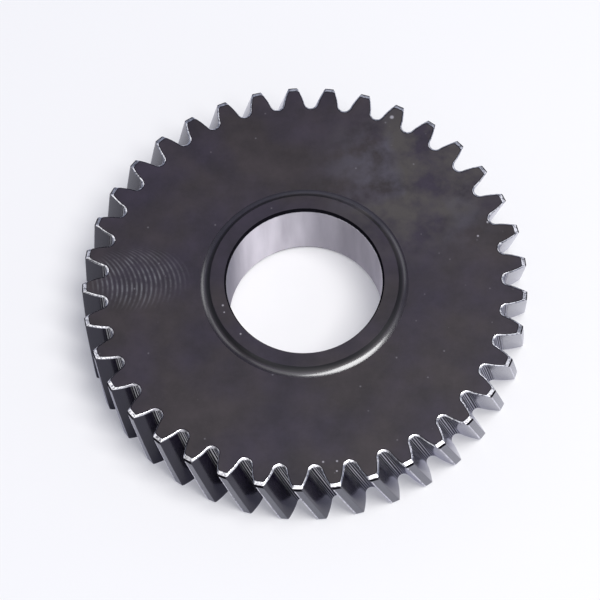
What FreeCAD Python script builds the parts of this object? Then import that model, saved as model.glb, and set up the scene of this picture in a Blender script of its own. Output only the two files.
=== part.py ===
import FreeCAD, Part
import math
import os

# Helical compressor drive gear, lying on its plain side.
# Origin: middle of the plain side. +Z runs up the bore to the hub boss. Sizes in millimetres.

# Teeth
tooth_count = 37
normal_module = 3.175          # pitch diameter per tooth in the normal plane: 8 teeth per inch
pressure_angle = 20.0          # degrees, in the normal plane
helix_angle = 15.5             # degrees at the pitch circle, left hand
dedendum_factor = 1.157        # root depth below the pitch circle, in modules

# Body
face_width = 23.5
bore_diameter = 45.0

# Hub boss, a low ring round the bore on the upper side only
boss_diameter = 54.5
boss_height = 1.8
boss_foot_reach = 2.75         # how far the hollow foot spreads past the boss
boss_foot_radius = 4.0
boss_edge_break = 0.15

# Lead-in cone at each end of the bore
lead_in_width = 0.55           # across the end face
lead_in_depth = 1.3            # along the bore

# Bevel turned on the tooth tips at both ends
tip_bevel_width = 1.25         # across the end face
tip_bevel_depth = 0.6          # along the teeth

# Chamfer that follows the tooth outline at both ends
flank_chamfer_width = 0.38
root_chamfer_width = 0.6
outline_chamfer_depth = 0.45

# Cutter for one tooth gap
cutter_overshoot = 1.0         # how far it stands out past the tooth tips
helix_steps = 3                # straight steps that carry it along the helix
hob_cuts = 8                   # flat cuts that the hob leaves round the root
flank_points = 4               # points taken on each involute

# Turn of the blank, in tooth pitches, that ends its seam in two gaps
blank_seam = -0.4

# Gear geometry that follows from the sizes above
helix = math.radians(helix_angle)
transverse_pressure = math.atan(math.tan(math.radians(pressure_angle)) / math.cos(helix))
pitch_radius = normal_module / math.cos(helix) * tooth_count / 2
base_radius = pitch_radius * math.cos(transverse_pressure)
tip_radius = pitch_radius + normal_module
root_radius = pitch_radius - dedendum_factor * normal_module
twist_per_mm = math.tan(helix) / pitch_radius

boss_top = face_width + boss_height
bore_radius = bore_diameter / 2
boss_radius = boss_diameter / 2


def involute_function(angle):
    """Angle swept on the base circle less the angle itself."""
    return math.tan(angle) - angle


# Half the gap's angle where its flanks reach the base circle
base_half_gap = math.pi / tooth_count / 2 - involute_function(transverse_pressure)


def polar(radius, angle):
    """A point in the gap's own plane, with its angle measured from the gap's middle line, +Y."""
    return FreeCAD.Vector(radius * math.sin(angle), radius * math.cos(angle), 0)


def flank_point(half_gap, roll):
    """The involute's point after it has rolled by the given angle off the base circle."""
    return polar(base_radius * math.hypot(1, roll), half_gap + roll - math.atan(roll))


def root_contact(half_gap, root):
    """Angle of the normal that the root arc shares with the flank.

    The arc touches the root circle on the gap's middle line and both flanks. Its centre lies on
    the flank's normal, which is a tangent of the base circle, so this angle settles the arc.
    """
    low, high = half_gap, math.pi / 4
    for _ in range(60):
        angle = (low + high) / 2
        excess = 1 / math.cos(angle) - math.tan(angle) + angle - half_gap - root / base_radius
        if excess < 0:
            low = angle
        else:
            high = angle
    return angle


def gap_outline(wider, deeper, reach):
    """Closed outline of one tooth gap: flank, full-round root, flank and a chord outside the tips.

    An involute moved out along its normals is the same involute turned about the axis, so a gap
    that is wider by the same amount on each flank only has its flanks turned. The root's arc is
    divided into the hob's flat cuts.
    """
    half_gap = base_half_gap + wider / base_radius
    root = root_radius - deeper
    contact = root_contact(half_gap, root)
    first_roll = contact - half_gap
    last_roll = math.sqrt((reach / base_radius) ** 2 - 1)
    step = (last_roll - first_roll) / (flank_points - 1)
    right = [flank_point(half_gap, first_roll + step * i) for i in range(flank_points)]
    left = [FreeCAD.Vector(-p.x, p.y, 0) for p in reversed(right)]

    left_flank = Part.BSplineCurve()
    left_flank.interpolate(left)
    right_flank = Part.BSplineCurve()
    right_flank.interpolate(right)
    root_arc = Part.Arc(left[-1], FreeCAD.Vector(0, root, 0), right[0]).toShape()
    root_cuts = Part.makePolygon(root_arc.discretize(hob_cuts + 1)).Edges
    chord = Part.LineSegment(right[-1], left[0]).toShape()
    return Part.Wire([left_flank.toShape(), *root_cuts, right_flank.toShape(), chord])


def placed(outline, height):
    """The outline lifted to a height and turned along the left-hand helix."""
    section = outline.copy()
    section.rotate(FreeCAD.Vector(), FreeCAD.Vector(0, 0, 1), -math.degrees(twist_per_mm * height))
    section.translate(FreeCAD.Vector(0, 0, height))
    return section


def gap_cutter():
    """One tooth gap over the whole face width, with the flare of the outline chamfer at each end."""
    reach = tip_radius + cutter_overshoot
    plain = gap_outline(0, 0, reach)
    flared = gap_outline(flank_chamfer_width, root_chamfer_width, reach)
    low = outline_chamfer_depth
    rise = (face_width - 2 * low) / helix_steps
    along = [placed(plain, low + rise * i) for i in range(helix_steps + 1)]
    return Part.makeLoft([placed(flared, 0), *along, placed(flared, face_width)], True, True)


def turned_blank():
    """The blank before its teeth are cut: body, tip bevels, hub boss, bore and lead-in cones."""

    def point(radius, height):
        return FreeCAD.Vector(radius, 0, height)

    foot_out = point(boss_radius + boss_foot_reach, face_width)
    foot_in = point(boss_radius, boss_top - boss_edge_break)
    chord = foot_in - foot_out
    sag = boss_foot_radius - math.sqrt(boss_foot_radius ** 2 - (chord.Length / 2) ** 2)
    into_metal = FreeCAD.Vector(chord.z, 0, -chord.x).normalize() * -sag
    foot_middle = (foot_out + foot_in) * 0.5 + into_metal
    outside = [
        point(bore_radius + lead_in_width, 0),
        point(tip_radius - tip_bevel_width, 0),
        point(tip_radius, tip_bevel_depth),
        point(tip_radius, face_width - tip_bevel_depth),
        point(tip_radius - tip_bevel_width, face_width),
        foot_out,
    ]
    inside = [
        foot_in,
        point(boss_radius - boss_edge_break, boss_top),
        point(bore_radius + lead_in_width, boss_top),
        point(bore_radius, boss_top - lead_in_depth),
        point(bore_radius, lead_in_depth),
        outside[0],
    ]
    foot = Part.Arc(foot_out, foot_middle, foot_in).toShape()
    profile = Part.Wire([*Part.makePolygon(outside).Edges, foot, *Part.makePolygon(inside).Edges])
    return Part.Face(profile).revolve(FreeCAD.Vector(), FreeCAD.Vector(0, 0, 1), 360)


def compressor_gear():
    """The blank with all its tooth gaps cut. A tooth, not a gap, stands on the +Y axis."""
    cutter = gap_cutter()
    axis = FreeCAD.Vector(0, 0, 1)
    pitch_degrees = 360 / tooth_count
    at_top = math.degrees(twist_per_mm * face_width)
    cutters = []
    for i in range(tooth_count):
        copy = cutter.copy()
        copy.rotate(FreeCAD.Vector(), axis, at_top + pitch_degrees * (i + 0.5))
        cutters.append(copy)
    blank = turned_blank()
    blank.rotate(FreeCAD.Vector(), axis, blank_seam * pitch_degrees)
    return blank.cut(cutters)


os.makedirs("parts", exist_ok=True)
gear = compressor_gear().Solids[0]
gear.exportStep("parts/compressor_gear.step")
print("tip diameter", round(2 * tip_radius, 3), "root diameter", round(2 * root_radius, 3))
print("valid", gear.isValid(), "faces", len(gear.Faces), "volume cm3", round(gear.Volume / 1000, 2))
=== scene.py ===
import math

import bpy
import numpy as np
from mathutils import Matrix


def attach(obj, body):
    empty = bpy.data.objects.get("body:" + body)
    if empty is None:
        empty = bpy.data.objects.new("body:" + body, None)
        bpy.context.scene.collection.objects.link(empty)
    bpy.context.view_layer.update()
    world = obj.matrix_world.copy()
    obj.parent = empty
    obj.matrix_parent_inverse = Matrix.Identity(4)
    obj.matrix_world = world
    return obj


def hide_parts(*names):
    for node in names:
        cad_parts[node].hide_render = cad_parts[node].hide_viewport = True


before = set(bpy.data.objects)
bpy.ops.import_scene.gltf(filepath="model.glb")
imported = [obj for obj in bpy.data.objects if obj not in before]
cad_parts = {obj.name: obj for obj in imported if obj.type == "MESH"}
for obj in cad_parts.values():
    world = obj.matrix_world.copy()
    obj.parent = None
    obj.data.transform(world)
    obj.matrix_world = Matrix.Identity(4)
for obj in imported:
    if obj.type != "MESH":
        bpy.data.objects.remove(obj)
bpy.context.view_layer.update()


# Compressor gear
# One forging of case-hardened steel, turned all over, hobbed with a left-hand helix of 37 teeth,
# brushed along its tooth outlines and ground in the bore. It is one closed skin here.

# Sizes in millimetres, the same as the solid's
MM = 0.001
TEETH = 37
MODULE = 3.175
DEDENDUM = 1.157 * MODULE
HELIX = math.radians(15.5)
PRESSURE = math.atan(math.tan(math.radians(20)) / math.cos(HELIX))
PITCH_RADIUS = MODULE / math.cos(HELIX) * TEETH / 2
BASE_RADIUS = PITCH_RADIUS * math.cos(PRESSURE)
TIP_RADIUS = PITCH_RADIUS + MODULE
ROOT_RADIUS = PITCH_RADIUS - DEDENDUM
FACE_WIDTH = 23.5
TWIST = math.tan(HELIX) / PITCH_RADIUS
HALF_GAP = math.pi / TEETH / 2 - (math.tan(PRESSURE) - PRESSURE)

BORE_RADIUS = 22.5
LEAD_IN_WIDTH, LEAD_IN_DEPTH = 0.55, 1.3
BOSS_RADIUS, BOSS_TOP = 27.25, 25.3
BOSS_EDGE = 0.15
FOOT_RADIUS, FOOT_ARC = 30.0, 4.0
TIP_BEVEL_WIDTH, TIP_BEVEL_DEPTH = 1.25, 0.6
FLANK_CHAMFER, ROOT_CHAMFER, CHAMFER_DEPTH = 0.38, 0.6, 0.45

# Small breaks and rounds that only the skin has, in mm
TOOTH_CORNER, BEVEL_CORNER, FACE_CORNER = 0.07, 0.2, 0.5
RIM_BREAK = 0.05
MOUTH_OUT, MOUTH_UP, MOUTH_DOWN = 0.02, 0.05, 0.1

# Widths of the black band under the tip bevels and of the black scale along the outline, and the
# share of the hub's foot that shines
BEVEL_BLACK_BAND = 1.0
BURNT_LINE = 0.2
SHINING_FOOT = 0.5

# Shares of the way along each part of the outline at which its points stand
ROOT_POINTS = np.linspace(0, 1, 9)
FLANK_POINTS = np.array([0.1, 0.22, 0.36, 0.5, 0.64, 0.78, 0.9, 1.0])
CORNER_POINTS = np.array([0.35, 0.65, 1.0])
LAND_POINTS = np.array([0.25, 0.6, 1.0])
HELIX_RINGS = 10
FOOT_RINGS = 13
BORE_HEIGHTS = (16, 9, LEAD_IN_DEPTH)


def half_gap_outline(wider, deeper, blank_radius, corner):
    """Half of one tooth gap, from its middle line to the middle of the next tooth.

    Points are complex numbers with the gap's middle line on the real axis. The root is an arc whose
    centre lies where the tangent of the base circle at the contact angle crosses the middle line.
    The flank is an involute: a point rolled by t off the base circle stands at radius
    base * sqrt(1 + t * t) and at angle half gap + t - atan(t). The corner is a quadratic curve from
    flank to blank circle, and the land is a piece of that circle.
    """
    half = HALF_GAP + wider / BASE_RADIUS
    root = ROOT_RADIUS - deeper
    low, high = half, math.pi / 4
    for _ in range(50):
        contact = (low + high) / 2
        over = 1 / math.cos(contact) - math.tan(contact) + contact - half > root / BASE_RADIUS
        low, high = (low, contact) if over else (contact, high)
    centre = BASE_RADIUS / math.cos(contact)
    radius = centre - root
    start = contact - half
    end = math.sqrt((blank_radius / BASE_RADIUS) ** 2 - 1)
    flank_end = math.sqrt(((blank_radius - corner) / BASE_RADIUS) ** 2 - 1)

    sweep = ROOT_POINTS * (math.pi / 2 - contact)
    arc = centre - radius * np.exp(-1j * sweep)
    roll = start + FLANK_POINTS * (flank_end - start)
    flank = BASE_RADIUS * np.hypot(1, roll) * np.exp(1j * (half + roll - np.arctan(roll)))
    edge_angle = half + end - math.atan(end)
    edge = blank_radius * np.exp(1j * edge_angle)
    land_start = edge_angle + corner / blank_radius
    t = CORNER_POINTS
    land_corner = blank_radius * np.exp(1j * land_start)
    bend = (1 - t) ** 2 * flank[-1] + 2 * t * (1 - t) * edge + t ** 2 * land_corner
    land = blank_radius * np.exp(1j * (land_start + LAND_POINTS * (math.pi / TEETH - land_start)))
    return np.concatenate([arc, flank, bend, land])


def tooth_ring(height, wider=0, deeper=0, blank_radius=TIP_RADIUS, corner=TOOTH_CORNER):
    """The whole outline at a height.

    The half gap and its mirror image stand once in each tooth pitch round the axis, turned on by
    the twist per millimetre times the distance below the upper side.
    """
    half = half_gap_outline(wider, deeper, blank_radius, corner)
    gap = np.concatenate([np.conj(half[::-1])[:-1], half])[:-1]
    helix_turn = TWIST * (FACE_WIDTH - height)
    middle = math.pi / 2 + helix_turn + (np.arange(TEETH) + 0.5) * 2 * math.pi / TEETH
    return (gap[None, :] * np.exp(1j * middle)[:, None]).ravel()


def face_ring(height, inset):
    """The rounded outline of a flat side inside its chamfers, moved into the metal by an inset."""
    blank_radius = TIP_RADIUS - TIP_BEVEL_WIDTH - inset
    return tooth_ring(
        height, FLANK_CHAMFER + inset, ROOT_CHAMFER + inset, blank_radius, FACE_CORNER
    )


AROUND = len(tooth_ring(FACE_WIDTH))
EVEN = np.exp(1j * (math.pi / 2 + np.arange(AROUND) * 2 * math.pi / AROUND))

rings, heights, finishes = [], [], []


def add_ring(points, height, finish):
    """Keeps one ring of the skin, with the finish of the strip that leads up to it."""
    rings.append(points)
    heights.append(np.full(AROUND, float(height)))
    finishes.append(finish)


def add_side(height, shares):
    """Rings of a flat side: the foot circle times (1 - share) plus the toothed line times share."""
    for share in shares:
        ring = FOOT_RADIUS * EVEN * (1 - share) + face_ring(height, BURNT_LINE) * share
        add_ring(ring, height, "side")


bevel_at_chamfer = TIP_RADIUS - TIP_BEVEL_WIDTH * (1 - CHAMFER_DEPTH / TIP_BEVEL_DEPTH)
bevel_foot = FACE_WIDTH - TIP_BEVEL_DEPTH
chamfer_foot = FACE_WIDTH - CHAMFER_DEPTH
bore_mouth = BORE_RADIUS + LEAD_IN_WIDTH
lead_in_foot = BOSS_TOP - LEAD_IN_DEPTH

# From the lower mouth of the bore out along the underside, and up the teeth
add_ring(bore_mouth * EVEN, 0, "lead_in")
add_side(0, (0, 0.4, 0.75, 1))
add_ring(face_ring(0, 0), 0, "line")
low_chamfer = tooth_ring(CHAMFER_DEPTH, 0, 0, bevel_at_chamfer, BEVEL_CORNER)
add_ring(low_chamfer, CHAMFER_DEPTH, "chamfer")
add_ring(tooth_ring(TIP_BEVEL_DEPTH), TIP_BEVEL_DEPTH, "bevel")
for height in np.linspace(TIP_BEVEL_DEPTH, bevel_foot - BEVEL_BLACK_BAND, HELIX_RINGS)[1:]:
    add_ring(tooth_ring(height), height, "tooth")

# Over the bevels and chamfers, and in along the upper side
add_ring(tooth_ring(bevel_foot), bevel_foot, "band")
high_chamfer = tooth_ring(chamfer_foot, 0, 0, bevel_at_chamfer, BEVEL_CORNER)
add_ring(high_chamfer, chamfer_foot, "bevel")
add_ring(face_ring(FACE_WIDTH, 0), FACE_WIDTH, "chamfer")
add_ring(face_ring(FACE_WIDTH, BURNT_LINE), FACE_WIDTH, "line")
add_side(FACE_WIDTH, (0.75, 0.4, 0))

# The hub's hollow foot is an arc whose centre lies outside the metal, square to the chord's middle
foot_in = BOSS_RADIUS + 1j * (BOSS_TOP - BOSS_EDGE)
foot_out = FOOT_RADIUS + 1j * FACE_WIDTH
foot_chord = foot_in - foot_out
foot_centre = (foot_in + foot_out) / 2 - 1j * foot_chord / abs(foot_chord) * math.sqrt(
    FOOT_ARC ** 2 - abs(foot_chord / 2) ** 2
)
foot_turn = np.angle((foot_in - foot_centre) / (foot_out - foot_centre))
for share in np.linspace(0, 1, FOOT_RINGS)[1:]:
    spot = foot_centre + (foot_out - foot_centre) * np.exp(1j * foot_turn * share)
    add_ring(spot.real * EVEN, spot.imag, "foot" if share < SHINING_FOOT else "foot_wall")

# Over the hub's rim and down the bore
add_ring((BOSS_RADIUS - BOSS_EDGE) * EVEN, BOSS_TOP, "boss_edge")
add_ring((bore_mouth + RIM_BREAK) * EVEN, BOSS_TOP, "boss")
add_ring(bore_mouth * EVEN, BOSS_TOP - RIM_BREAK, "rim")
add_ring((BORE_RADIUS + MOUTH_OUT) * EVEN, lead_in_foot + MOUTH_UP, "lead_in")
add_ring(BORE_RADIUS * EVEN, lead_in_foot - MOUTH_DOWN, "wall_edge")
for height in BORE_HEIGHTS:
    add_ring(BORE_RADIUS * EVEN, height, "bore")

STRIPS = len(rings)
flat = np.array(rings)
skin = np.stack([flat.real, flat.imag, np.array(heights)], axis=2) * MM
strip, column = np.meshgrid(np.arange(STRIPS), np.arange(AROUND), indexing="ij")
next_strip, next_column = (strip + 1) % STRIPS, (column + 1) % AROUND
quads = np.stack(
    [
        strip * AROUND + column,
        strip * AROUND + next_column,
        next_strip * AROUND + next_column,
        next_strip * AROUND + column,
    ],
    axis=2,
).reshape(-1, 4)

gear_mesh = bpy.data.meshes.new("gear_skin")
gear_mesh.vertices.add(STRIPS * AROUND)
gear_mesh.vertices.foreach_set("co", skin.reshape(-1).astype(np.float32))
gear_mesh.loops.add(quads.size)
gear_mesh.loops.foreach_set("vertex_index", quads.reshape(-1).astype(np.int32))
gear_mesh.polygons.add(len(quads))
gear_mesh.polygons.foreach_set("loop_start", (np.arange(len(quads)) * 4).astype(np.int32))
gear_mesh.update(calc_edges=True)

# Counted in points from the middle of a tooth gap, where the corner and the land of a tooth start
HALF_POINTS = len(ROOT_POINTS) + len(FLANK_POINTS) + len(CORNER_POINTS) + len(LAND_POINTS)
GAP_MIDDLE = HALF_POINTS - 1
PITCH_POINTS = 2 * GAP_MIDDLE
CORNER_START = len(ROOT_POINTS) + len(FLANK_POINTS) - 1
LAND_START = GAP_MIDDLE - len(LAND_POINTS)

# Sharp edges run round the rings where the finish changes, but for these pairs
SOFT_PAIRS = [("tooth", "band"), ("line", "side"), ("side", "line"), ("foot", "foot_wall")]
strip_finish = np.array(finishes[1:] + finishes[:1])
finish_before = np.roll(strip_finish, 1)
ring_is_sharp = strip_finish != finish_before
for before, after in SOFT_PAIRS:
    ring_is_sharp &= (finish_before != before) | (strip_finish != after)
edge_ends = np.empty(len(gear_mesh.edges) * 2, np.int32)
gear_mesh.edges.foreach_get("vertices", edge_ends)
edge_ends = edge_ends.reshape(-1, 2)
edge_ring = edge_ends[:, 0] // AROUND
along_ring = edge_ring == edge_ends[:, 1] // AROUND
sharp = along_ring & ring_is_sharp[edge_ring]

# The brush rounded the face's edge over on flanks and roots, and left it sharp on the tooth tips
gap_place = np.abs(edge_ends % AROUND % PITCH_POINTS - GAP_MIDDLE).max(axis=1)
face_edge = (strip_finish == "line") & (finish_before == "chamfer")
sharp &= ~(face_edge[edge_ring] & (gap_place <= CORNER_START))
sharp_flags = gear_mesh.attributes.new("sharp_edge", "BOOLEAN", "EDGE")
sharp_flags.data.foreach_set("value", sharp)
gear_mesh.polygons.foreach_set("use_smooth", np.ones(len(quads), bool))

# Surface map in millimetres: U runs round the tooth outline, V up the tooth
outline = tooth_ring(FACE_WIDTH / 2)
steps = np.abs(np.diff(np.append(outline, outline[0])))
run = np.concatenate([[0], np.cumsum(steps)])
u_left, u_right = run[column], run[column + 1]
v_low, v_high = np.array(heights)[strip, column], np.array(heights)[next_strip, column]
tooth_map = np.stack([u_left, v_low, u_right, v_low, u_right, v_high, u_left, v_high], axis=2)
map_layer = gear_mesh.uv_layers.new(name="tooth_map")
map_layer.data.foreach_set("uv", tooth_map.reshape(-1).astype(np.float32))

gear = bpy.data.objects.new("gear_surface", gear_mesh)
bpy.context.scene.collection.objects.link(gear)
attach(gear, "root")
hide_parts("compressor_gear")


# The gear kept the thin black oxide of its heat treatment nearly all over. Only its tooth outlines
# were brushed bare, and its bore ground. The teeth show the hob's cuts along their roots. Noise
# scales are per millimetre, so a scale of 0.1 gives patches about 10 mm wide.
def linear(hex_colour):
    """An sRGB hex value as linear red, green, blue and full opacity."""
    channels = np.array([int(hex_colour[i : i + 2], 16) for i in (1, 3, 5)]) / 255
    curved = np.where(channels <= 0.04045, channels / 12.92, ((channels + 0.055) / 1.055) ** 2.4)
    return (*curved.tolist(), 1.0)


def add_node(tree, kind, inputs=None, **settings):
    """Adds one node with its settings, and feeds each input a value or another node's output."""
    made = tree.nodes.new(kind)
    for name, value in settings.items():
        setattr(made, name, value)
    for key, value in (inputs or {}).items():
        if isinstance(value, bpy.types.NodeSocket):
            tree.links.new(value, made.inputs[key])
        else:
            made.inputs[key].default_value = value
    return made


def new_material(name, shader_values):
    """A material on the gear with its shader linked to the output, and its object place in mm."""
    material = bpy.data.materials.new(name)
    material.use_nodes = True
    tree = material.node_tree
    tree.nodes.clear()
    shader = add_node(tree, "ShaderNodeBsdfPrincipled", shader_values)
    add_node(tree, "ShaderNodeOutputMaterial", {"Surface": shader.outputs["BSDF"]})
    gear_mesh.materials.append(material)
    place = add_node(tree, "ShaderNodeTexCoord")
    mm = add_node(
        tree,
        "ShaderNodeVectorMath",
        {0: place.outputs["Object"], "Scale": 1 / MM},
        operation="SCALE",
    )
    return tree, shader, mm.outputs["Vector"]


# Black oxide on the turned sides and the hub: a thin dull skin of magnetite, darkened with oil. It
# is purple-grey, with mottled clouds 11 mm wide and a browner tint over 25 mm, and mirrors little
# from above. Its grain is 0.7 mm wide, coarser than the real one, so that it shows. Up the steep
# wall of the hub's foot it is painted darkest, as painted shade in that hollow, and it is a little
# darker on its rim.
HUB_WALL_LOW, HUB_WALL_HIGH = FACE_WIDTH + 0.4, FACE_WIDTH + 0.8
RIM_LOW, RIM_HIGH = BOSS_TOP - 0.2, BOSS_TOP - 0.05
tree, shader, mm = new_material("black_oxide_on_turned_steel", {"IOR": 1.5, "Roughness": 0.38})
axes = add_node(tree, "ShaderNodeSeparateXYZ", {"Vector": mm})
cloud = add_node(
    tree, "ShaderNodeTexNoise", {"Vector": mm, "Scale": 0.09, "Detail": 8.0, "Roughness": 0.7}
)
tint = add_node(tree, "ShaderNodeTexNoise", {"Vector": mm, "Scale": 0.04, "Detail": 3.0})
grain = add_node(tree, "ShaderNodeTexNoise", {"Vector": mm, "Scale": 1.4, "Detail": 2.0})
mottle = add_node(
    tree,
    "ShaderNodeMapRange",
    {"Value": cloud.outputs["Fac"], "From Min": 0.3, "From Max": 0.7, "To Min": 0.6, "To Max": 1.4},
)
# Painted shade: the oxide turns dark up the steep wall of the hub's foot, under its rim
hub_wall_painted_shade = add_node(
    tree,
    "ShaderNodeMapRange",
    {
        "Value": axes.outputs["Z"],
        "From Min": HUB_WALL_LOW,
        "From Max": HUB_WALL_HIGH,
        "To Min": 1.0,
        "To Max": 0.15,
    },
)
rim_tone = add_node(
    tree,
    "ShaderNodeMapRange",
    {"Value": axes.outputs["Z"], "From Min": RIM_LOW, "From Max": RIM_HIGH, "To Max": 0.77},
)
height_tone = add_node(
    tree,
    "ShaderNodeMath",
    {0: hub_wall_painted_shade.outputs["Result"], 1: rim_tone.outputs["Result"]},
    operation="ADD",
)
shade = add_node(
    tree,
    "ShaderNodeMath",
    {0: mottle.outputs["Result"], 1: height_tone.outputs[0]},
    operation="MULTIPLY",
)
purple_or_brown = add_node(
    tree, "ShaderNodeMapRange", {"Value": tint.outputs["Fac"], "From Min": 0.4, "From Max": 0.62}
)
hue = add_node(
    tree,
    "ShaderNodeMix",
    {"Factor": purple_or_brown.outputs["Result"], "A": linear("#2c2632"), "B": linear("#302a2d")},
    data_type="RGBA",
)

# Chatter marks: arcs of one radius, 1.4 mm apart, that a tool left near one edge of the upper side.
# x - sqrt(radius^2 - y^2) is the same all along one arc, and its sine makes the crests. They fade
# out from the middle of an oval patch, and break up in spots of 2.5 mm.
CHATTER_STEP = 1.4
CHATTER_RADIUS = 13.0
CHATTER_AXIS = 1.8
CHATTER_MIDDLE = (-48.5, 4.5, FACE_WIDTH)
CHATTER_OVAL = (0.65, 1.0, 1.0)
CHATTER_FULL, CHATTER_END = 5.0, 11.0
off_axis = add_node(
    tree, "ShaderNodeMath", {0: axes.outputs["Y"], 1: CHATTER_AXIS}, operation="SUBTRACT"
)
square = add_node(
    tree, "ShaderNodeMath", {0: off_axis.outputs[0], 1: off_axis.outputs[0]}, operation="MULTIPLY"
)
left_over = add_node(
    tree, "ShaderNodeMath", {0: CHATTER_RADIUS ** 2, 1: square.outputs[0]}, operation="SUBTRACT"
)
reach = add_node(tree, "ShaderNodeMath", {0: left_over.outputs[0]}, operation="SQRT")
arc_place = add_node(
    tree, "ShaderNodeMath", {0: axes.outputs["X"], 1: reach.outputs[0]}, operation="SUBTRACT"
)
turns = add_node(
    tree,
    "ShaderNodeMath",
    {0: arc_place.outputs[0], 1: 2 * math.pi / CHATTER_STEP},
    operation="MULTIPLY",
)
wave = add_node(tree, "ShaderNodeMath", {0: turns.outputs[0]}, operation="SINE")
from_middle_mm = add_node(
    tree, "ShaderNodeVectorMath", {0: mm, 1: CHATTER_MIDDLE}, operation="SUBTRACT"
)
as_oval = add_node(
    tree,
    "ShaderNodeVectorMath",
    {0: from_middle_mm.outputs["Vector"], 1: CHATTER_OVAL},
    operation="MULTIPLY",
)
patch_distance = add_node(
    tree, "ShaderNodeVectorMath", {0: as_oval.outputs["Vector"]}, operation="LENGTH"
)
patch = add_node(
    tree,
    "ShaderNodeMapRange",
    {
        "Value": patch_distance.outputs["Value"],
        "From Min": CHATTER_FULL,
        "From Max": CHATTER_END,
        "To Min": 1.0,
        "To Max": 0.0,
    },
    interpolation_type="SMOOTHSTEP",
)
crest = add_node(
    tree, "ShaderNodeMapRange", {"Value": wave.outputs[0], "From Min": -0.1, "From Max": 0.9}
)
chatter = add_node(
    tree,
    "ShaderNodeMath",
    {0: crest.outputs["Result"], 1: patch.outputs["Result"]},
    operation="MULTIPLY",
)
uneven = add_node(
    tree, "ShaderNodeTexNoise", {"Vector": mm, "Scale": 0.4, "Detail": 4.0, "Roughness": 0.65}
)
pressure = add_node(
    tree,
    "ShaderNodeMapRange",
    {
        "Value": uneven.outputs["Fac"],
        "From Min": 0.38,
        "From Max": 0.64,
        "To Min": 0.12,
        "To Max": 0.62,
    },
)
broken_chatter = add_node(
    tree,
    "ShaderNodeMath",
    {0: chatter.outputs[0], 1: pressure.outputs["Result"]},
    operation="MULTIPLY",
)
plain_oxide = add_node(
    tree,
    "ShaderNodeVectorMath",
    {0: hue.outputs["Result"], "Scale": shade.outputs[0]},
    operation="SCALE",
)
oxide = add_node(
    tree,
    "ShaderNodeMix",
    {
        "Factor": broken_chatter.outputs[0],
        "A": plain_oxide.outputs["Vector"],
        "B": linear("#77777c"),
    },
    data_type="RGBA",
)

# A worn haze of paler patches 8 mm wide, some brown and some blue, towards the edge at the upper
# right
HAZE_MIDDLE = (34.0, 33.0, FACE_WIDTH)
HAZE_FULL, HAZE_END = 12.0, 34.0
from_haze = add_node(tree, "ShaderNodeVectorMath", {0: mm, 1: HAZE_MIDDLE}, operation="DISTANCE")
haze_area = add_node(
    tree,
    "ShaderNodeMapRange",
    {
        "Value": from_haze.outputs["Value"],
        "From Min": HAZE_FULL,
        "From Max": HAZE_END,
        "To Min": 1.0,
        "To Max": 0.0,
    },
    interpolation_type="SMOOTHSTEP",
)
rubbed = add_node(
    tree, "ShaderNodeTexNoise", {"Vector": mm, "Scale": 0.12, "Detail": 5.0, "Roughness": 0.6}
)
rub = add_node(
    tree,
    "ShaderNodeMapRange",
    {"Value": rubbed.outputs["Fac"], "From Min": 0.38, "From Max": 0.6, "To Max": 0.85},
)
haze = add_node(
    tree,
    "ShaderNodeMath",
    {0: rub.outputs["Result"], 1: haze_area.outputs["Result"]},
    operation="MULTIPLY",
)
blue_or_brown = add_node(
    tree, "ShaderNodeMapRange", {"Value": tint.outputs["Fac"], "From Min": 0.45, "From Max": 0.55}
)
haze_hue = add_node(
    tree,
    "ShaderNodeMix",
    {"Factor": blue_or_brown.outputs["Result"], "A": linear("#484442"), "B": linear("#4b4852")},
    data_type="RGBA",
)
hazed = add_node(
    tree,
    "ShaderNodeMix",
    {"Factor": haze.outputs[0], "A": oxide.outputs["Result"], "B": haze_hue.outputs["Result"]},
    data_type="RGBA",
)

# Dings where the oxide is knocked off, on the hub's rim and near the teeth, each given by its place
# and radius in mm, and fainter specks about 5 mm apart
DINGS = [
    (-23.7, -6.6, BOSS_TOP, 0.4),
    (-23.4, -8.8, BOSS_TOP, 0.3),
    (-19.0, -15.9, BOSS_TOP, 0.35),
    (2.4, -56.0, FACE_WIDTH, 0.4),
    (6.3, -56.0, FACE_WIDTH, 0.4),
    (6.1, -59.0, FACE_WIDTH, 0.35),
    (54.1, 16.1, FACE_WIDTH, 0.5),
    (50.9, 11.8, FACE_WIDTH, 0.4),
    (28.5, 52.3, FACE_WIDTH, 0.75),
]
DING_CORE = 0.4
dings = 0.0
for x, y, z, ding_radius in DINGS:
    apart = add_node(tree, "ShaderNodeVectorMath", {0: mm, 1: (x, y, z)}, operation="DISTANCE")
    ding = add_node(
        tree,
        "ShaderNodeMapRange",
        {
            "Value": apart.outputs["Value"],
            "From Min": ding_radius * DING_CORE,
            "From Max": ding_radius,
            "To Min": 1.0,
            "To Max": 0.0,
        },
    )
    both = add_node(tree, "ShaderNodeMath", {0: ding.outputs["Result"], 1: dings}, operation="ADD")
    dings = both.outputs[0]
specks = add_node(tree, "ShaderNodeTexVoronoi", {"Vector": mm, "Scale": 0.2, "Randomness": 1.0})
speck = add_node(
    tree,
    "ShaderNodeMapRange",
    {
        "Value": specks.outputs["Distance"],
        "From Min": 0.03,
        "From Max": 0.07,
        "To Min": 0.3,
        "To Max": 0.0,
    },
)
knocks = add_node(
    tree,
    "ShaderNodeMath",
    {0: dings, 1: speck.outputs["Result"]},
    operation="ADD",
    use_clamp=True,
)
knocked = add_node(
    tree,
    "ShaderNodeMix",
    {"Factor": knocks.outputs[0], "A": hazed.outputs["Result"], "B": linear("#98959c")},
    data_type="RGBA",
)
relief = add_node(
    tree,
    "ShaderNodeBump",
    {"Height": grain.outputs["Fac"], "Distance": 0.02 * MM, "Strength": 0.5},
)
tree.links.new(knocked.outputs["Result"], shader.inputs["Base Color"])
tree.links.new(relief.outputs["Normal"], shader.inputs["Normal"])
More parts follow.
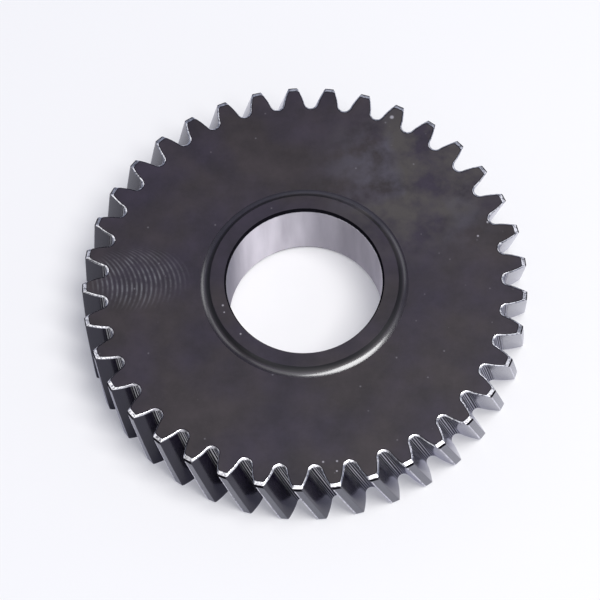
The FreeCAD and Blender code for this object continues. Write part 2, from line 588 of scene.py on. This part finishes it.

# Brushed bare steel on the tooth outlines: bright, with uneven gloss, dull spots and short
# scratches, which are drawn 0.6 mm wide, coarser than real ones, so that they show. Round the roots
# of one stretch on the front left it is painted duller: a painted shade.
DULL_MIDDLE = (-15.8, -12.3, FACE_WIDTH)
DULL_FULL, DULL_END = 39.5, 42.5
tree, shader, mm = new_material("brushed_bare_steel", {"Metallic": 1.0})
scratches = add_node(
    tree, "ShaderNodeTexNoise", {"Vector": mm, "Scale": 1.6, "Detail": 4.0, "Roughness": 0.65}
)
gloss = add_node(
    tree,
    "ShaderNodeMapRange",
    {
        "Value": scratches.outputs["Fac"],
        "From Min": 0.35,
        "From Max": 0.65,
        "To Min": 0.3,
        "To Max": 0.14,
    },
)
bite = add_node(
    tree,
    "ShaderNodeMapRange",
    {"Value": scratches.outputs["Fac"], "From Min": 0.36, "From Max": 0.54},
)
# Painted shade: within about 40 mm of a point on the front left the bare steel is painted duller
from_dull = add_node(tree, "ShaderNodeVectorMath", {0: mm, 1: DULL_MIDDLE}, operation="DISTANCE")
front_left_painted_shade = add_node(
    tree,
    "ShaderNodeMapRange",
    {
        "Value": from_dull.outputs["Value"],
        "From Min": DULL_FULL,
        "From Max": DULL_END,
        "To Min": 0.3,
    },
)
bared_and_shaded = add_node(
    tree,
    "ShaderNodeMath",
    {0: bite.outputs["Result"], 1: front_left_painted_shade.outputs["Result"]},
    operation="MULTIPLY",
)
tone = add_node(
    tree,
    "ShaderNodeMix",
    {"Factor": bared_and_shaded.outputs[0], "A": linear("#5f5d64"), "B": linear("#dcdbdf")},
    data_type="RGBA",
)
tree.links.new(gloss.outputs["Result"], shader.inputs["Roughness"])
tree.links.new(tone.outputs["Result"], shader.inputs["Base Color"])

# Ground bore: bright steel whose fine scratches run round it, too fine to draw, so that a lamp
# makes an upright stripe on the wall. Faint smears 5 mm wide run down it.
tree, shader, mm = new_material(
    "ground_steel_bore",
    {"Metallic": 1.0, "Roughness": 0.5, "Anisotropic": 1.0, "Anisotropic Rotation": 0.25},
)
upright = add_node(
    tree, "ShaderNodeVectorMath", {0: mm, 1: (0.22, 0.22, 0.03)}, operation="MULTIPLY"
)
smears = add_node(
    tree, "ShaderNodeTexNoise", {"Vector": upright.outputs["Vector"], "Scale": 1.0, "Detail": 4.0}
)
tone = add_node(
    tree,
    "ShaderNodeMix",
    {"Factor": smears.outputs["Fac"], "A": linear("#8f8b93"), "B": linear("#cbc7ce")},
    data_type="RGBA",
)
round_the_bore = add_node(tree, "ShaderNodeTangent", direction_type="RADIAL", axis="Z")
tree.links.new(tone.outputs["Result"], shader.inputs["Base Color"])
tree.links.new(round_the_bore.outputs["Tangent"], shader.inputs["Tangent"])

# Hobbed flanks and roots under the oxide: smooth and dark, mirroring what they face at a low angle.
# The hob left faint ridges along the root, where its cuts meet. They are a slight bump, and their
# light metal colour is a painted highlight. They are drawn 0.65 mm apart and drift a little to the
# sides, and they stop 1.8 mm above the root circle.
HOB_LINE_STEP = 0.65
HOB_DRIFT = 6.0
LINES_FULL, LINES_END = ROOT_RADIUS + 0.8, ROOT_RADIUS + 1.8
tree, shader, mm = new_material(
    "hobbed_steel_flank",
    {
        "IOR": 1.3,
        "Specular Tint": linear("#e7e7ff"),
        "Coat Roughness": 0.16,
        "Coat IOR": 1.25,
    },
)
axes = add_node(tree, "ShaderNodeSeparateXYZ", {"Vector": mm})
level = add_node(tree, "ShaderNodeCombineXYZ", {"X": axes.outputs["X"], "Y": axes.outputs["Y"]})
radius = add_node(tree, "ShaderNodeVectorMath", {0: level.outputs["Vector"]}, operation="LENGTH")
near_root = add_node(
    tree,
    "ShaderNodeMapRange",
    {
        "Value": radius.outputs["Value"],
        "From Min": LINES_FULL,
        "From Max": LINES_END,
        "To Min": 1.0,
        "To Max": 0.0,
    },
)
rough_in_root = add_node(
    tree,
    "ShaderNodeMapRange",
    {"Value": near_root.outputs["Result"], "To Min": 0.16, "To Max": 0.35},
)
coat_off_root = add_node(
    tree,
    "ShaderNodeMapRange",
    {"Value": near_root.outputs["Result"], "To Min": 0.8, "To Max": 0.0},
)
shine_off_root = add_node(
    tree,
    "ShaderNodeMapRange",
    {"Value": near_root.outputs["Result"], "To Min": 0.5, "To Max": 0.1},
)
tooth_place = add_node(tree, "ShaderNodeUVMap", uv_map="tooth_map")
drawn_out = add_node(
    tree,
    "ShaderNodeVectorMath",
    {0: tooth_place.outputs["UV"], 1: (1.0, 0.02, 0.0)},
    operation="MULTIPLY",
)
drift = add_node(
    tree, "ShaderNodeTexNoise", {"Vector": drawn_out.outputs["Vector"], "Scale": 0.8, "Detail": 1.0}
)
round_tooth = add_node(tree, "ShaderNodeSeparateXYZ", {"Vector": tooth_place.outputs["UV"]})
line_turns = add_node(
    tree,
    "ShaderNodeMath",
    {0: round_tooth.outputs["X"], 1: 2 * math.pi / HOB_LINE_STEP},
    operation="MULTIPLY",
)
drifted_turns = add_node(
    tree,
    "ShaderNodeMath",
    {0: drift.outputs["Fac"], 1: HOB_DRIFT, 2: line_turns.outputs[0]},
    operation="MULTIPLY_ADD",
)
cuts = add_node(tree, "ShaderNodeMath", {0: drifted_turns.outputs[0]}, operation="SINE")
stripe = add_node(tree, "ShaderNodeMapRange", {"Value": cuts.outputs[0], "From Max": 0.5})
stripe_in_root = add_node(
    tree,
    "ShaderNodeMath",
    {0: stripe.outputs["Result"], 1: near_root.outputs["Result"]},
    operation="MULTIPLY",
)
# The light, metallic stripes are painted highlights on the hob's ridges; the bump below is their
# relief
tone = add_node(
    tree,
    "ShaderNodeMix",
    {"Factor": stripe_in_root.outputs[0], "A": linear("#16121f"), "B": linear("#b9b9b4")},
    data_type="RGBA",
)
relief = add_node(
    tree,
    "ShaderNodeBump",
    {"Height": stripe_in_root.outputs[0], "Distance": 0.1 * MM, "Strength": 0.9},
)
tree.links.new(tone.outputs["Result"], shader.inputs["Base Color"])
tree.links.new(stripe_in_root.outputs[0], shader.inputs["Metallic"])
tree.links.new(rough_in_root.outputs["Result"], shader.inputs["Roughness"])
tree.links.new(coat_off_root.outputs["Result"], shader.inputs["Coat Weight"])
tree.links.new(shine_off_root.outputs["Result"], shader.inputs["Specular IOR Level"])
tree.links.new(relief.outputs["Normal"], shader.inputs["Normal"])

# Turned outside of the teeth: smooth bluish oxide, which mirrors the table, over faint lathe lines.
# They are drawn 0.5 mm apart, coarser than real ones, so that they show.
tree, shader, mm = new_material(
    "turned_steel_land",
    {
        "IOR": 1.5,
        "Roughness": 0.22,
        "Specular Tint": linear("#edf1ff"),
        "Coat Weight": 0.5,
        "Coat Roughness": 0.22,
        "Coat IOR": 1.3,
    },
)
squeezed = add_node(
    tree, "ShaderNodeVectorMath", {0: mm, 1: (0.05, 0.05, 2.0)}, operation="MULTIPLY"
)
lines = add_node(
    tree, "ShaderNodeTexNoise", {"Vector": squeezed.outputs["Vector"], "Scale": 1.0, "Detail": 3.0}
)
tone = add_node(
    tree,
    "ShaderNodeMix",
    {"Factor": lines.outputs["Fac"], "A": linear("#1d1e29"), "B": linear("#2b2d3a")},
    data_type="RGBA",
)
tree.links.new(tone.outputs["Result"], shader.inputs["Base Color"])

# Heat scale that the turning left in the lead-in cones and along the tooth outline: rough, dull and
# nearly black, in patches about 1 mm wide. The black band under the tip bevels is given the same
# material.
tree, shader, mm = new_material("heat_scale", {"Specular IOR Level": 0.0, "Roughness": 0.9})
patches = add_node(tree, "ShaderNodeTexNoise", {"Vector": mm, "Scale": 0.8, "Detail": 2.0})
tone = add_node(
    tree,
    "ShaderNodeMix",
    {"Factor": patches.outputs["Fac"], "A": linear("#0c0b0f"), "B": linear("#1e1d23")},
    data_type="RGBA",
)
tree.links.new(tone.outputs["Result"], shader.inputs["Base Color"])

# Hollow foot of the hub, turned with a round tool: the same oxide in clouds 3 mm wide, but smooth
# and glossy, so that it draws the lamp as a thin bright crescent.
tree, shader, mm = new_material("smooth_turned_foot", {"IOR": 1.7, "Roughness": 0.19})
cloud = add_node(tree, "ShaderNodeTexNoise", {"Vector": mm, "Scale": 0.3, "Detail": 4.0})
tone = add_node(
    tree,
    "ShaderNodeMix",
    {"Factor": cloud.outputs["Fac"], "A": linear("#1c191f"), "B": linear("#2e2932")},
    data_type="RGBA",
)
tree.links.new(tone.outputs["Result"], shader.inputs["Base Color"])

# Where each finish lies. The numbers follow the order in which the materials were made. One corner
# of each tooth is worn bare, and so is its edge to the land.
OXIDE, BARE, BORE, FLANK, LAND, SCALE, FOOT = range(7)
in_gap = column % PITCH_POINTS
from_middle = np.minimum(np.abs(in_gap - GAP_MIDDLE), np.abs(in_gap + 1 - GAP_MIDDLE))
on_land = from_middle >= LAND_START
on_corner = (from_middle >= CORNER_START) & ~on_land
land_edge = from_middle == LAND_START
worn_corner = (on_corner | land_edge) & (in_gap > HALF_POINTS)
finish_of = strip_finish[strip]
chosen = np.full(strip.shape, OXIDE)
chosen[finish_of == "foot"] = FOOT
chosen[np.isin(finish_of, ["chamfer", "wall_edge"])] = BARE
chosen[finish_of == "bore"] = BORE
chosen[np.isin(finish_of, ["lead_in", "line"])] = SCALE
chosen[np.isin(finish_of, ["bevel", "band", "tooth"])] = FLANK
chosen[(finish_of == "tooth") & on_land] = LAND
chosen[(finish_of == "tooth") & worn_corner] = BARE
chosen[np.isin(finish_of, ["band", "bevel"]) & on_land] = SCALE
gear_mesh.polygons.foreach_set("material_index", chosen.reshape(-1).astype(np.int32))


# Studio
# A table with white paper in a dim room, one soft lamp high over the camera's right shoulder, and
# white boards round the table. The photograph was taken from 65 degrees above the table.

# The paper is matte. It glows a little towards the camera, as white paper does in a bright
# exposure, and for the gear's mirroring faces it glows a faint blue as well, lit or shaded: a
# painted reflection that makes them look bluer.
GLOW_SHARE, MIRROR_SHARE = 0.32, 0.35
table_mesh = bpy.data.meshes.new("table_top")
table_mesh.from_pydata([(-3, -3, 0), (3, -3, 0), (3, 3, 0), (-3, 3, 0)], [], [(0, 1, 2, 3)])
table = bpy.data.objects.new("table_top", table_mesh)
bpy.context.scene.collection.objects.link(table)
paper = bpy.data.materials.new("white_paper")
paper.use_nodes = True
tree = paper.node_tree
tree.nodes.clear()
matte = add_node(tree, "ShaderNodeBsdfDiffuse", {"Color": linear("#f8f7f5")})
glow = add_node(tree, "ShaderNodeEmission", {"Color": linear("#f4f4ff"), "Strength": 1.0})
# A blue glow that only mirroring faces see: painted light in their reflections of the paper
blue_glow_in_mirrors = add_node(tree, "ShaderNodeEmission", {"Color": linear("#dfdfff"), "Strength": 1.0})
rays = add_node(tree, "ShaderNodeLightPath")
blue_share = add_node(
    tree,
    "ShaderNodeMath",
    {0: rays.outputs["Is Glossy Ray"], 1: MIRROR_SHARE},
    operation="MULTIPLY",
)
in_mirrors = add_node(
    tree,
    "ShaderNodeMixShader",
    {0: blue_share.outputs[0], 1: matte.outputs["BSDF"], 2: blue_glow_in_mirrors.outputs["Emission"]},
)
glow_share = add_node(
    tree, "ShaderNodeMath", {0: rays.outputs["Is Camera Ray"], 1: GLOW_SHARE}, operation="MULTIPLY"
)
seen_paper = add_node(
    tree,
    "ShaderNodeMixShader",
    {0: glow_share.outputs[0], 1: in_mirrors.outputs["Shader"], 2: glow.outputs["Emission"]},
)
add_node(tree, "ShaderNodeOutputMaterial", {"Surface": seen_paper.outputs["Shader"]})
table_mesh.materials.append(paper)

# The room: white for the camera, and a dim blue for all else, dimmer overhead
room = bpy.data.worlds.new("white_room")
bpy.context.scene.world = room
room.use_nodes = True
tree = room.node_tree
tree.nodes.clear()
rays = add_node(tree, "ShaderNodeLightPath")
direction = add_node(tree, "ShaderNodeTexCoord")
parts = add_node(tree, "ShaderNodeSeparateXYZ", {"Vector": direction.outputs["Generated"]})
ceiling = add_node(
    tree,
    "ShaderNodeMapRange",
    {
        "Value": parts.outputs["Z"],
        "From Min": 0.45,
        "From Max": 0.92,
        "To Min": 0.42,
        "To Max": 0.16,
    },
    interpolation_type="SMOOTHSTEP",
)


def room_patch(towards, edge, inside, outside):
    """Brightness of a soft round patch of the room: one value round a direction, one beyond it.

    The edge is given by two cosines of the angle to that direction: where it starts, and where the
    patch is full.
    """
    nearness = add_node(
        tree,
        "ShaderNodeVectorMath",
        {0: direction.outputs["Generated"], 1: towards},
        operation="DOT_PRODUCT",
    )
    soft_patch = add_node(
        tree,
        "ShaderNodeMapRange",
        {
            "Value": nearness.outputs["Value"],
            "From Min": edge[0],
            "From Max": edge[1],
            "To Min": outside,
            "To Max": inside,
        },
        interpolation_type="SMOOTHSTEP",
    )
    return soft_patch.outputs["Result"]


# White boards, each given by its direction, edge and brightness. Only bright and smooth surfaces
# mirror them, and they light nothing.
BOARDS = [
    ((-0.654, -0.727, 0.208), (0.93, 0.985), 1.05),
    ((-0.084, -0.964, 0.25), (0.93, 0.985), 0.25),
    ((0.897, -0.418, 0.139), (0.92, 0.98), 0.8),
    ((0.657, 0.551, 0.515), (0.955, 0.985), 0.95),
    ((0.3, 0.91, 0.276), (0.85, 0.95), 0.15),
    ((0.067, -0.763, 0.643), (0.9, 0.97), 0.9),
    ((-0.211, -0.453, 0.866), (0.93, 0.95), 1.3),
    ((0.604, -0.22, 0.766), (0.9, 0.96), 1.0),
    ((-0.669, 0.0, 0.743), (0.955, 0.985), 1.4),
    ((-0.71, 0.4, 0.58), (0.955, 0.985), 0.6),
    ((-0.492, 0.413, 0.766), (0.983, 0.995), 3.0),
]
boards = 0.0
for towards, edge, brightness in BOARDS:
    board = room_patch(towards, edge, brightness, 0.0)
    boards = add_node(tree, "ShaderNodeMath", {0: board, 1: boards}, operation="ADD").outputs[0]
mirrored = add_node(
    tree, "ShaderNodeMath", {0: boards, 1: rays.outputs["Is Glossy Ray"]}, operation="MULTIPLY"
)

# The room is darker at the front left, where the camera's own side of it isn't lit
dark_corner = room_patch((-0.726, -0.419, 0.545), (0.848, 0.966), 0.25, 1.0)
dim = add_node(
    tree, "ShaderNodeMath", {0: ceiling.outputs["Result"], 1: dark_corner}, operation="MULTIPLY"
)
blue_dim = add_node(
    tree,
    "ShaderNodeVectorMath",
    {0: linear("#dfe6ff")[:3], "Scale": dim.outputs[0]},
    operation="SCALE",
)
walls = add_node(
    tree,
    "ShaderNodeVectorMath",
    {0: blue_dim.outputs["Vector"], 1: mirrored.outputs[0]},
    operation="ADD",
)
room_colour = add_node(
    tree,
    "ShaderNodeMix",
    {
        "Factor": rays.outputs["Is Camera Ray"],
        "A": walls.outputs["Vector"],
        "B": linear("#ffffff"),
    },
    data_type="RGBA",
)
light = add_node(tree, "ShaderNodeBackground", {"Color": room_colour.outputs["Result"]})
add_node(tree, "ShaderNodeOutputWorld", {"Surface": light.outputs["Background"]})


def set_up(thing, across, up, back, spot):
    """Places a lamp or camera: its own X, Y and Z axes and its place are the matrix columns."""
    place = Matrix.Identity(4)
    for row in range(3):
        place[row][0], place[row][1], place[row][2] = across[row], up[row], back[row]
        place[row][3] = spot[row]
    thing.matrix_world = place
    bpy.context.scene.collection.objects.link(thing)


# The lamp, a square soft box that faces the gear
LAMP_AZIMUTH, LAMP_ELEVATION = math.radians(328), math.radians(71)
LAMP_DISTANCE, LAMP_SIZE, LAMP_WATTS = 1.4, 0.7, 19.0
softbox = bpy.data.lights.new("key_softbox", "AREA")
softbox.shape = "RECTANGLE"
softbox.size, softbox.size_y = LAMP_SIZE, LAMP_SIZE
softbox.energy = LAMP_WATTS
lamp = bpy.data.objects.new("key_softbox", softbox)
to_lamp = np.array(
    [
        math.cos(LAMP_ELEVATION) * math.cos(LAMP_AZIMUTH),
        math.cos(LAMP_ELEVATION) * math.sin(LAMP_AZIMUTH),
        math.sin(LAMP_ELEVATION),
    ]
)
beside = np.array([-math.sin(LAMP_AZIMUTH), math.cos(LAMP_AZIMUTH), 0])
set_up(lamp, beside, np.cross(to_lamp, beside), to_lamp, to_lamp * LAMP_DISTANCE)

# The camera stands in front, a little rolled, with a long lens. Its three angles are in radians,
# and its offset is the middle of the gear's upper side as it sees it, in mm.
LIFT, ROLL, TURN = 1.13029, -0.05967, -0.00319
OFFSET = np.array([1.26, -5.01, 955.9])
FOCAL_PIXELS, PICTURE_PIXELS, SENSOR_WIDTH = 3320.66, 600, 36
lifted = np.array(
    [[1, 0, 0], [0, -math.sin(LIFT), -math.cos(LIFT)], [0, math.cos(LIFT), -math.sin(LIFT)]]
)
rolled = np.array(
    [[math.cos(ROLL), -math.sin(ROLL), 0], [math.sin(ROLL), math.cos(ROLL), 0], [0, 0, 1]]
)
turned = np.array(
    [[math.cos(TURN), -math.sin(TURN), 0], [math.sin(TURN), math.cos(TURN), 0], [0, 0, 1]]
)
view = rolled @ lifted @ turned
stand = -view.T @ OFFSET + np.array([0, 0, FACE_WIDTH])
lens = bpy.data.cameras.new("camera")
lens.sensor_width = SENSOR_WIDTH
lens.lens = FOCAL_PIXELS / PICTURE_PIXELS * SENSOR_WIDTH
lens.clip_start, lens.clip_end = 0.01, 20
camera = bpy.data.objects.new("camera", lens)
set_up(camera, view[0], -view[1], -view[2], stand * MM)
bpy.context.scene.camera = camera
bpy.context.scene.view_settings.view_transform = "Standard"
